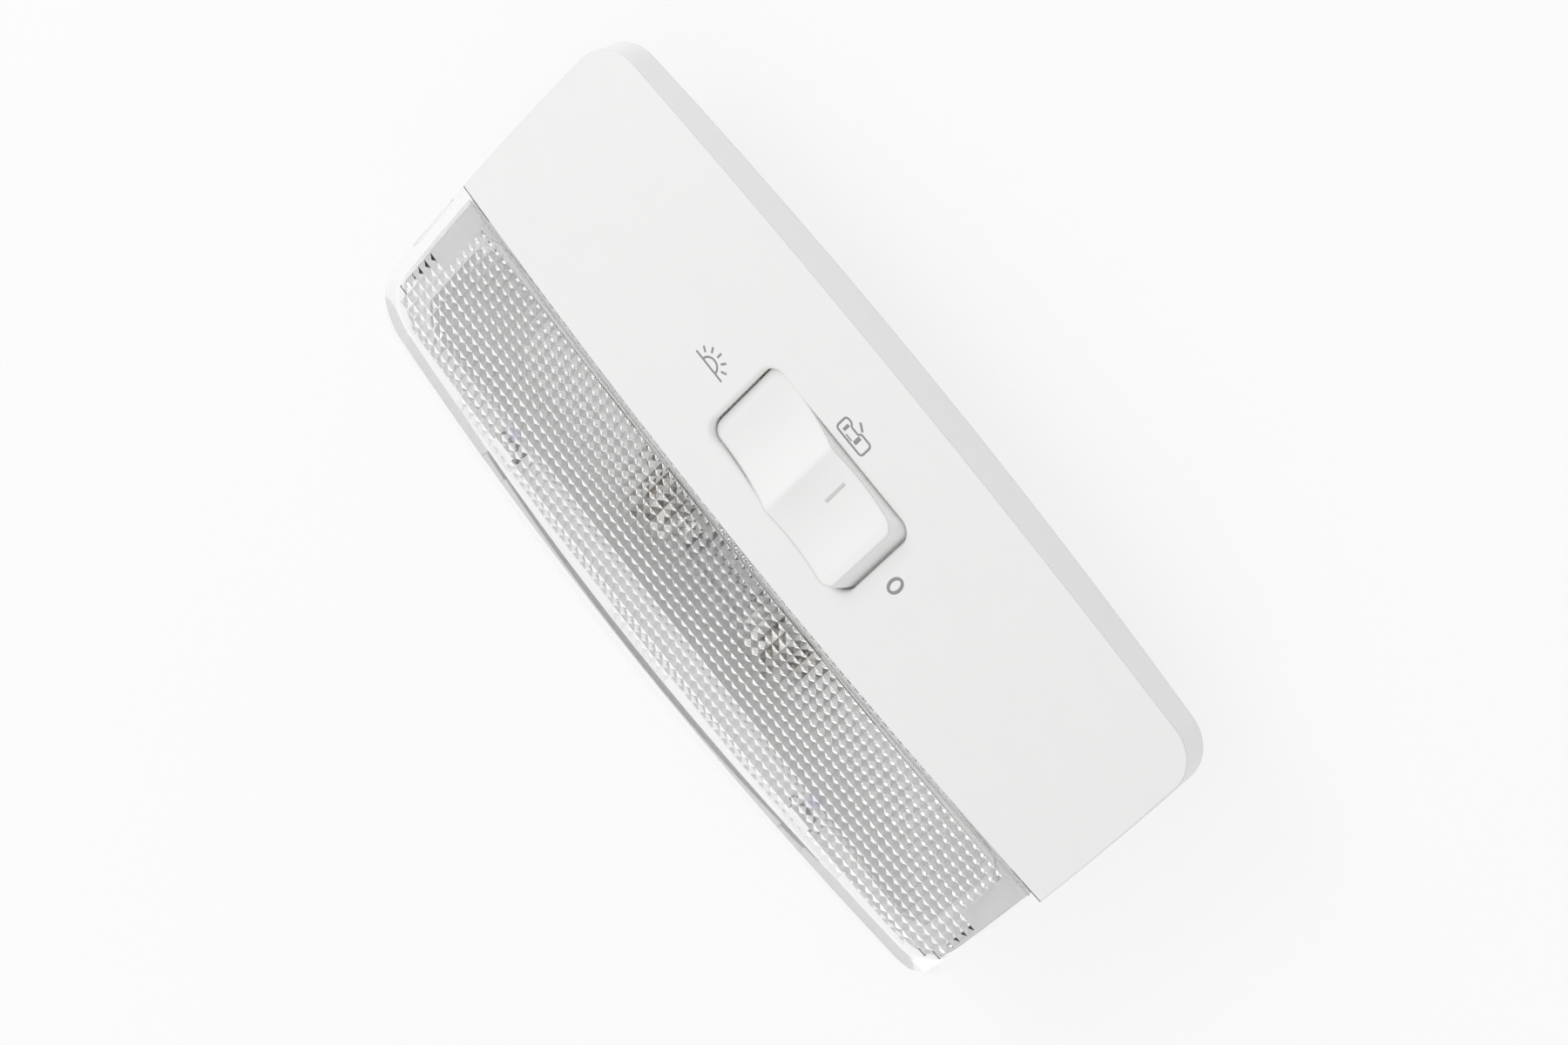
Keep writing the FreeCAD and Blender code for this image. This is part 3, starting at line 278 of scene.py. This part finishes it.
def tones(colour, spread):
    """A colour's slightly darker and slightly lighter neighbour"""
    darker = tuple(part * (1 - spread) for part in colour)
    lighter = tuple(min(1.0, part * (1 + spread)) for part in colour)
    return darker, lighter


def finish(name, colours, roughness, grain, bump=0.0, soft_edge=0.0, **constants):
    """A procedural material: two tones and a roughness that drift with a fine grain"""
    material = bpy.data.materials.new(name)
    material.use_nodes = True
    tree = material.node_tree
    shader = tree.nodes["Principled BSDF"]
    base = Wire(tree)
    place = base.node("ShaderNodeTexCoord", out="Object")
    drift = base.node("ShaderNodeTexNoise", Vector=place, Scale=grain * DRIFT_SHARE, Detail=DRIFT_DETAIL)
    fine = base.node("ShaderNodeTexNoise", Vector=place, Scale=grain, Detail=GRAIN_DETAIL)
    base.plug(shader.inputs["Base Color"], drift.blend(rgba(colours[0]), rgba(colours[1])))
    base.plug(shader.inputs["Roughness"], fine.between(*roughness))
    if bump:
        relief = base.node("ShaderNodeBump", Height=fine, Strength=bump, Distance=GRAIN_HEIGHT)
        if soft_edge:
            rounding = base.node("ShaderNodeBevel", {"samples": EDGE_RAYS}, Radius=soft_edge)
            base.plug(relief.socket.node.inputs["Normal"], rounding)
        base.plug(shader.inputs["Normal"], relief)
    for socket, value in constants.items():
        shader.inputs[socket.replace("_", " ")].default_value = value
    return material


def ink(name, colour):
    """Matt printing ink"""
    return finish(name, tones(colour, spread=0.06), roughness=(0.5, 0.65), grain=2500.0)


def dress(material, *names):
    """Gives CAD nodes their finish"""
    for name in names:
        slots = frame["nodes"][name].data.materials
        slots.clear()
        slots.append(material)


# Printed signs: each line is a flat bead of ink laid on the moulding
def closely(points, step, closed):
    """The same path with points no further apart than a step, so that it can follow a surface"""
    corners = [Vector(point) for point in points]
    ends = corners[1:] + corners[:1] if closed else corners[1:]
    spots = []
    for start, end in zip(corners, ends):
        parts = max(1, math.ceil((end - start).length / step))
        spots += [start.lerp(end, part / parts) for part in range(parts)]
    return spots if closed else spots + [corners[-1]]


def bead(points, width, closed=False):
    """One line of a sign, drawn as a round curve"""
    line = bpy.data.curves.new("sign_line", "CURVE")
    line.dimensions = "3D"
    line.bevel_depth = width / 2
    line.bevel_resolution = BEAD_STEPS
    line.use_fill_caps = True
    path = line.splines.new("POLY")
    spots = closely(points, width, closed)
    path.points.add(len(spots) - 1)
    for point, spot in zip(path.points, spots):
        point.co = (spot.x, spot.y, 0, 1)
    path.use_cyclic_u = closed
    drawn = bpy.data.objects.new("sign_line", line)
    bpy.context.collection.objects.link(drawn)
    return drawn


def arc(centre, radii, first, last, steps):
    """Points along part of an ellipse, from one angle to another"""
    angles = [first + (last - first) * step / steps for step in range(steps + 1)]
    return [(centre[0] + radii[0] * math.cos(a), centre[1] + radii[1] * math.sin(a)) for a in angles]


def surface_z(node, x, y):
    """Height at which a vertical line meets the top of a CAD node"""
    above = Vector((x, y, HIGHEST.z + MM))
    hit, point, _, _ = frame["nodes"][node].ray_cast(above, Vector((0, 0, -1)))
    if not hit:
        raise RuntimeError(f"no surface of {node} under the sign")
    return point.z


def lay_sign(name, lines, node, body, middle, rise, material):
    """Joins a sign's lines, flattens them to a film of ink and lays it along a surface"""
    bpy.ops.object.select_all(action="DESELECT")
    for line in lines:
        line.select_set(True)
    bpy.context.view_layer.objects.active = lines[0]
    bpy.ops.object.convert(target="MESH")
    if len(lines) > 1:
        bpy.ops.object.join()
    sign = bpy.context.view_layer.objects.active
    sign.name = name
    thick = max(corner[2] for corner in sign.bound_box)
    for vertex in sign.data.vertices:
        x = vertex.co.x + middle[0]
        y = vertex.co.y + middle[1]
        vertex.co = (x, y, surface_z(node, x, y) + vertex.co.z * rise / thick)
    bpy.ops.object.shade_smooth()
    sign.data.materials.clear()
    sign.data.materials.append(material)
    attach(sign, body)


class LAMP_OT_white_mouldings(bpy.types.Operator):
    """Satin white of the housing and the rocker"""

    bl_idname = "lamp.white_mouldings"
    bl_label = "White mouldings"

    def execute(self, context):
        white = tones(context.scene.courtesy_finish.moulding_white, spread=0.012)
        panel = finish("satin_white_panel", white, roughness=(0.36, 0.46), grain=2600.0,
                       bump=0.05, soft_edge=0.4 * MM)
        key = finish("satin_white_rocker", white, roughness=(0.32, 0.42), grain=2600.0,
                     bump=0.04, soft_edge=0.9 * MM)
        dress(panel, "housing")
        dress(key, "rocker")
        return {"FINISHED"}


class LAMP_OT_clear_lens(bpy.types.Operator):
    """Clear acrylic of the prismatic lens, with a painted violet glint over each snap hook"""

    bl_idname = "lamp.clear_lens"
    bl_label = "Clear lens"

    def execute(self, context):
        colours = context.scene.courtesy_finish
        acrylic = finish("clear_acrylic", tones(colours.lens_clear, spread=0.01), roughness=(0.03, 0.07),
                         grain=900.0, Transmission_Weight=1.0, IOR=1.49)
        # Paints the violet glints over the snap hooks into the lens colour
        self.paint_hook_glints(acrylic, rgba(colours.hook_glint))
        dress(acrylic, "lens")
        return {"FINISHED"}

    def paint_hook_glints(self, acrylic, glint):
        """Paints a violet glint into the lens colour over each snap hook, standing in for light caught in the
        thick acrylic there
        """
        colour = acrylic.node_tree.nodes["Principled BSDF"].inputs["Base Color"]
        base = Wire(acrylic.node_tree)
        tint = Wire(acrylic.node_tree, colour.links[0].from_socket)
        place = base.node("ShaderNodeTexCoord", out="Object")
        flat = base.node("ShaderNodeVectorMath", {"operation": "MULTIPLY"}, i0=place, i1=(1, 1, 0))
        for spot in HOOK_SPOTS:
            away = base.node("ShaderNodeVectorMath", {"operation": "DISTANCE"}, out="Value",
                             i0=flat, i1=spot)
            near = base.node("ShaderNodeMapRange", Value=away, From_Min=HOOK_CORE, From_Max=HOOK_REACH,
                             To_Min=1.0, To_Max=0.0)
            # Blends the lens colour towards the painted violet glint near each hook
            tint = near.blend(tint, glint)
        base.plug(colour, tint)


class LAMP_OT_reflector(bpy.types.Operator):
    """Silvered inside of the lamp chamber"""

    bl_idname = "lamp.reflector"
    bl_label = "Reflector"

    def execute(self, context):
        silver = tones(context.scene.courtesy_finish.silvering, spread=0.05)
        sheet = finish("silvered_sheet", silver, roughness=(0.34, 0.48), grain=1200.0, bump=0.08,
                       Metallic=0.2)
        dress(sheet, "reflector")
        return {"FINISHED"}


class LAMP_OT_bulb(bpy.types.Operator):
    """Glass, caps and filament of the festoon bulb"""

    bl_idname = "lamp.bulb"
    bl_label = "Bulb"

    def execute(self, context):
        colours = context.scene.courtesy_finish
        glass = finish("bulb_glass", tones(colours.bulb_clear, spread=0.01), roughness=(0.02, 0.06),
                       grain=400.0, Alpha=0.12, IOR=1.5)
        nickel = finish("nickel_cap", tones(colours.cap_nickel, spread=0.06), roughness=(0.2, 0.34),
                        grain=1800.0, bump=0.05, Metallic=1.0)
        tungsten = finish("tungsten_coil", tones(colours.filament_grey, spread=0.1), roughness=(0.4, 0.55),
                          grain=3000.0, Metallic=1.0)
        dress(glass, "bulb_glass")
        dress(nickel, "bulb_cap_left", "bulb_cap_right")
        dress(tungsten, "bulb_filament")
        return {"FINISHED"}


class LAMP_OT_contacts(bpy.types.Operator):
    """Plated bulb leaves, bronze terminals and wiper, and its brass rivets"""

    bl_idname = "lamp.contacts"
    bl_label = "Contacts"

    def execute(self, context):
        colours = context.scene.courtesy_finish
        plated = finish("plated_leaf", tones(colours.leaf_plating, spread=0.1), roughness=(0.16, 0.28),
                        grain=1500.0, bump=0.06, Metallic=1.0)
        bronze = finish("contact_bronze", tones(colours.contact_bronze, spread=0.1), roughness=(0.26, 0.4),
                        grain=1500.0, bump=0.06, Metallic=1.0)
        brass = finish("rivet_brass", tones(colours.rivet_brass, spread=0.08), roughness=(0.22, 0.36),
                       grain=1500.0, Metallic=1.0)
        dress(plated, "feed_contact", "switched_contact")
        dress(bronze, "door_terminal", "earth_terminal", "contact_wiper")
        dress(brass, "wiper_rivets")
        return {"FINISHED"}


class LAMP_OT_fixings(bpy.types.Operator):
    """Zinc-plated screws and spring-steel clips and spring"""

    bl_idname = "lamp.fixings"
    bl_label = "Screws, clips and spring"

    def execute(self, context):
        colours = context.scene.courtesy_finish
        zinc = finish("bright_zinc", tones(colours.screw_zinc, spread=0.07), roughness=(0.26, 0.42),
                      grain=1600.0, bump=0.06, Metallic=1.0)
        spring = finish("spring_steel", tones(colours.spring_steel, spread=0.08), roughness=(0.28, 0.42),
                        grain=1800.0, Metallic=1.0)
        dress(zinc, "carrier_screws")
        dress(spring, "retaining_clip_lens_side", "retaining_clip_panel_side", "detent_spring")
        return {"FINISHED"}


class LAMP_OT_detent_coil(bpy.types.Operator):
    """Round-wire coil behind the plunger, in place of the detent spring, wound at its full length"""

    bl_idname = "lamp.detent_coil"
    bl_label = "Detent coil"

    def execute(self, context):
        size = context.scene.courtesy_coil
        slide = next(joint for joint in frame["joints"] if joint["name"] == "plunger_slide")
        axis = Vector(slide["axis"]).normalized()
        across = Vector((0, 1, 0))
        turn = Matrix((across.cross(axis), across, axis)).transposed()
        solid = frame["nodes"]["detent_spring"].data
        spots = [turn.transposed() @ vertex.co for vertex in solid.vertices]
        low = Vector([min(spot[side] for spot in spots) for side in range(3)])
        high = Vector([max(spot[side] for spot in spots) for side in range(3)])
        length = high.z - low.z
        coil = self.wind(size, (high.x - low.x) / 2, length)
        fixed_end = turn @ Vector(((low.x + high.x) / 2, (low.y + high.y) / 2, low.z))
        coil.matrix_world = Matrix.Translation(fixed_end) @ turn.to_4x4()
        bpy.ops.object.transform_apply(location=True, rotation=True, scale=True)
        bpy.ops.object.shade_smooth()
        coil.data.materials.append(bpy.data.materials["spring_steel"])
        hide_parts("detent_spring")
        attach(coil, "rocker_switch")
        stroke = max(abs(limit) for limit in slide["range_m"])
        1 - stroke / length
        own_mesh(coil)
        return {"FINISHED"}

    def wind(self, size, outer, length):
        """Screws a ring of wire up along Z from the origin, and closes its two ends"""
        half_wire = size.wire / 2
        bpy.ops.object.select_all(action="DESELECT")
        bpy.ops.mesh.primitive_circle_add(
            vertices=COIL_SIDES, radius=half_wire, rotation=(math.pi / 2, 0, 0),
            location=(outer - half_wire, 0, half_wire))
        bpy.ops.object.transform_apply(location=True, rotation=True, scale=True)
        coil = bpy.context.active_object
        coil.name = "detent_coil"
        screw = coil.modifiers.new("winding", "SCREW")
        screw.iterations = size.turns
        screw.screw_offset = (length - size.wire) / size.turns
        screw.steps = screw.render_steps = COIL_STEPS
        bpy.ops.object.modifier_apply(modifier=screw.name)
        bpy.ops.object.mode_set(mode="EDIT")
        bpy.ops.mesh.select_all(action="SELECT")
        bpy.ops.mesh.fill_holes(sides=COIL_SIDES)
        bpy.ops.mesh.select_all(action="SELECT")
        bpy.ops.mesh.normals_make_consistent(inside=False)
        bpy.ops.object.mode_set(mode="OBJECT")
        return coil


class LAMP_OT_carrier(bpy.types.Operator):
    """Pale nylon of the contact carrier, and the acetal plunger"""

    bl_idname = "lamp.carrier"
    bl_label = "Carrier and plunger"

    def execute(self, context):
        colours = context.scene.courtesy_finish
        nylon = finish("pale_nylon", tones(colours.carrier_nylon, spread=0.015), roughness=(0.48, 0.6),
                       grain=2200.0, bump=0.1)
        acetal = finish("natural_acetal", tones(colours.plunger_acetal, spread=0.02), roughness=(0.3, 0.42),
                        grain=1800.0)
        dress(nylon, "carrier")
        dress(acetal, "detent_plunger")
        return {"FINISHED"}


class LAMP_OT_sun_sign(bpy.types.Operator):
    """Half sun on its horizon with five rays: lamp on"""

    bl_idname = "lamp.sun_sign"
    bl_label = "Sun sign"

    def execute(self, context):
        signs = context.scene.courtesy_signs
        radius, half = signs.sun_radius, signs.horizon / 2
        lines = [bead([(-half, 0), (half, 0)], signs.stroke),
                 bead(arc((0, 0), (radius, radius), 0, math.pi, SUN_STEPS), signs.stroke)]
        for angle in RAY_ANGLES:
            ray = Vector((math.cos(math.radians(angle)), math.sin(math.radians(angle))))
            lines.append(bead([ray * radius * RAY_START, ray * radius * RAY_END], signs.stroke))
        grey = ink("sign_ink_sun", context.scene.courtesy_finish.print_grey)
        lay_sign("sun_sign", lines, "housing", "lamp", signs.sun_place, signs.ink_rise, grey)
        return {"FINISHED"}


class LAMP_OT_car_sign(bpy.types.Operator):
    """Car from above with a door open: lamp follows the door"""

    bl_idname = "lamp.car_sign"
    bl_label = "Car sign"

    def execute(self, context):
        signs = context.scene.courtesy_signs
        half, side = signs.car_size[0] / 2, signs.car_size[1] / 2
        bend = side * CORNER_BEND
        outline = []
        for quarter, (x, y) in enumerate(((1, 1), (-1, 1), (-1, -1), (1, -1))):
            first = quarter * FULL_TURN / 4
            centre = (x * (half - bend), y * (side - bend))
            outline += arc(centre, (bend, bend), first, first + FULL_TURN / 4, CORNER_STEPS)
            if quarter == 0:
                outline += [(half * along, side * out) for along, out in OPEN_SIDE]
        lines = [bead(outline, signs.stroke, closed=True)]
        for start, end, weight in CAR_LINES:
            ends = [(half * along, side * out) for along, out in (start, end)]
            lines.append(bead(ends, signs.stroke * weight))
        grey = ink("sign_ink_car", context.scene.courtesy_finish.print_grey)
        lay_sign("car_sign", lines, "housing", "lamp", signs.car_place, signs.ink_rise, grey)
        return {"FINISHED"}


class LAMP_OT_off_sign(bpy.types.Operator):
    """Ring: lamp off"""

    bl_idname = "lamp.off_sign"
    bl_label = "Off sign"

    def execute(self, context):
        signs = context.scene.courtesy_signs
        radii = (signs.off_size[0] / 2, signs.off_size[1] / 2)
        steps = RING_POINTS - 1
        ring = arc((0, 0), radii, 0, FULL_TURN * steps / RING_POINTS, steps)
        lines = [bead(ring, signs.stroke * BOLD, closed=True)]
        grey = ink("sign_ink_off", context.scene.courtesy_finish.print_grey)
        lay_sign("off_sign", lines, "housing", "lamp", signs.off_place, signs.ink_rise, grey)
        return {"FINISHED"}


class LAMP_OT_index_line(bpy.types.Operator):
    """Short line across the rocker's raised pad"""

    bl_idname = "lamp.index_line"
    bl_label = "Index line"

    def execute(self, context):
        signs = context.scene.courtesy_signs
        across, start, end = signs.index_ends
        half = (end - start) / 2
        lines = [bead([(0, -half), (0, half)], signs.stroke * BOLD)]
        grey = ink("sign_ink_index", context.scene.courtesy_finish.index_grey)
        middle = (across, start + half)
        lay_sign("index_line", lines, "rocker", "rocker_switch", middle, signs.ink_rise, grey)
        return {"FINISHED"}


def soft_lamp(name, place, size, power, aim):
    """A square area lamp that faces a point"""
    data = bpy.data.lights.new(name, "AREA")
    data.size = size
    data.energy = power
    lamp = bpy.data.objects.new(name, data)
    lamp.location = place
    lamp.rotation_euler = (aim - Vector(place)).to_track_quat("-Z", "Y").to_euler()
    bpy.context.collection.objects.link(lamp)


def seen_directly(base):
    """1 for what the camera sees, also in gloss and through glass, and 0 for what only lights"""
    camera = base.node("ShaderNodeLightPath", out="Is Camera Ray")
    gloss = base.node("ShaderNodeLightPath", out="Is Glossy Ray")
    glass = base.node("ShaderNodeLightPath", out="Is Transmission Ray")
    return base.node("ShaderNodeMath", {"operation": "ADD", "use_clamp": True}, i0=camera + gloss, i1=glass)


class LAMP_OT_stage(bpy.types.Operator):
    """Pale floor, soft light and the camera"""

    bl_idname = "lamp.stage"
    bl_label = "Stage"

    def execute(self, context):
        studio = context.scene.courtesy_studio
        self.lay_floor()
        self.light(context, studio)
        self.aim_camera(context, studio)
        context.scene.view_settings.view_transform = "Standard"
        return {"FINISHED"}

    def lay_floor(self):
        """A pale plane that keeps the lamp's shadow and turns white further out"""
        bpy.ops.object.select_all(action="DESELECT")
        bpy.ops.mesh.primitive_plane_add(size=FLOOR_SIZE, location=(0, 0, LOWEST.z))
        floor = bpy.context.active_object
        floor.name = "studio_floor"
        material = bpy.data.materials.new("pale_floor")
        material.use_nodes = True
        tree = material.node_tree
        base = Wire(tree)
        matt = tree.nodes["Principled BSDF"]
        matt.inputs["Roughness"].default_value = FLOOR_ROUGHNESS
        place = base.node("ShaderNodeTexCoord", out="Object")
        drift = base.node("ShaderNodeTexNoise", Vector=place, Scale=FLOOR_GRAIN)
        base.plug(matt.inputs["Base Color"], drift.blend(*(rgba(tone) for tone in FLOOR_TONES)))
        glow = base.node("ShaderNodeEmission", Color=(1, 1, 1, 1), Strength=1.0)
        away = base.node("ShaderNodeVectorMath", {"operation": "LENGTH"}, out="Value", i0=place)
        share = base.node("ShaderNodeMapRange", {"interpolation_type": "SMOOTHSTEP"}, Value=away,
                          From_Min=SHADOW_REACH, From_Max=WHITE_REACH, To_Min=SHADOW_GLOW, To_Max=1.0)
        mixed = tree.nodes.new("ShaderNodeMixShader")
        base.plug(mixed.inputs[0], seen_directly(base) * share)
        tree.links.new(matt.outputs[0], mixed.inputs[1])
        tree.links.new(glow.socket, mixed.inputs[2])
        tree.links.new(mixed.outputs[0], tree.nodes["Material Output"].inputs["Surface"])
        floor.data.materials.append(material)

    def light(self, context, studio):
        """An even sky that looks white, with a key lamp and a weak fill"""
        world = bpy.data.worlds.new("even_light")
        context.scene.world = world
        world.use_nodes = True
        tree = world.node_tree
        base = Wire(tree)
        sky = tree.nodes["Background"]
        sky.inputs["Color"].default_value = (1, 1, 1, 1)
        base.plug(sky.inputs["Strength"], seen_directly(base).between(studio.sky, 1.0))
        middle = (LOWEST + HIGHEST) / 2
        soft_lamp("key_lamp", studio.key_place, studio.key_size, studio.key_power, middle)
        soft_lamp("fill_lamp", studio.fill_place, studio.fill_size, studio.fill_power, middle)

    def aim_camera(self, context, studio):
        """A camera at the photograph's angle and distance"""
        flat = math.cos(studio.elevation)
        back = Vector((math.sin(studio.azimuth) * flat, math.cos(studio.azimuth) * flat,
                       math.sin(studio.elevation)))
        level = Vector((0, 0, 1)).cross(back).normalized()
        upright = back.cross(level)
        cos, sin = math.cos(studio.roll), math.sin(studio.roll)
        right = level * cos + upright * sin
        up = upright * cos - level * sin
        data = bpy.data.cameras.new("photo_camera")
        data.lens = studio.focal
        data.sensor_width = SENSOR_WIDTH
        data.sensor_fit = "HORIZONTAL"
        data.clip_start = NEAR_CLIP
        camera = bpy.data.objects.new("photo_camera", data)
        place = Vector(studio.target) + back * studio.distance
        turn = Matrix((right, up, back)).transposed().to_4x4()
        camera.matrix_world = Matrix.Translation(place) @ turn
        context.collection.objects.link(camera)
        context.scene.camera = camera


OPERATORS = (
    LAMP_OT_white_mouldings, LAMP_OT_clear_lens, LAMP_OT_reflector, LAMP_OT_bulb, LAMP_OT_contacts,
    LAMP_OT_fixings, LAMP_OT_detent_coil, LAMP_OT_carrier, LAMP_OT_sun_sign, LAMP_OT_car_sign,
    LAMP_OT_off_sign, LAMP_OT_index_line, LAMP_OT_stage,
)


class LAMP_PT_courtesy_light(bpy.types.Panel):
    """Buttons for the lamp's finishes, signs and studio"""

    bl_idname = "LAMP_PT_courtesy_light"
    bl_label = "Courtesy light"
    bl_space_type = "VIEW_3D"
    bl_region_type = "UI"
    bl_category = "Courtesy light"

    def draw(self, context):
        for operator in OPERATORS:
            self.layout.operator(operator.bl_idname)


SETTINGS = {
    "courtesy_finish": CourtesyLightFinish,
    "courtesy_coil": CourtesyLightCoil,
    "courtesy_signs": CourtesyLightSigns,
    "courtesy_studio": CourtesyLightStudio,
}


def register():
    for group in SETTINGS.values():
        bpy.utils.register_class(group)
    for operator in OPERATORS:
        bpy.utils.register_class(operator)
    bpy.utils.register_class(LAMP_PT_courtesy_light)
    for name, group in SETTINGS.items():
        setattr(bpy.types.Scene, name, bpy.props.PointerProperty(type=group))


def unregister():
    for name in SETTINGS:
        delattr(bpy.types.Scene, name)
    bpy.utils.unregister_class(LAMP_PT_courtesy_light)
    for operator in reversed(OPERATORS):
        bpy.utils.unregister_class(operator)
    for group in SETTINGS.values():
        bpy.utils.unregister_class(group)


def main():
    register()
    for operator in OPERATORS:
        getattr(bpy.ops.lamp, operator.bl_idname.split(".")[1])()


if __name__ == "__main__":
    main()
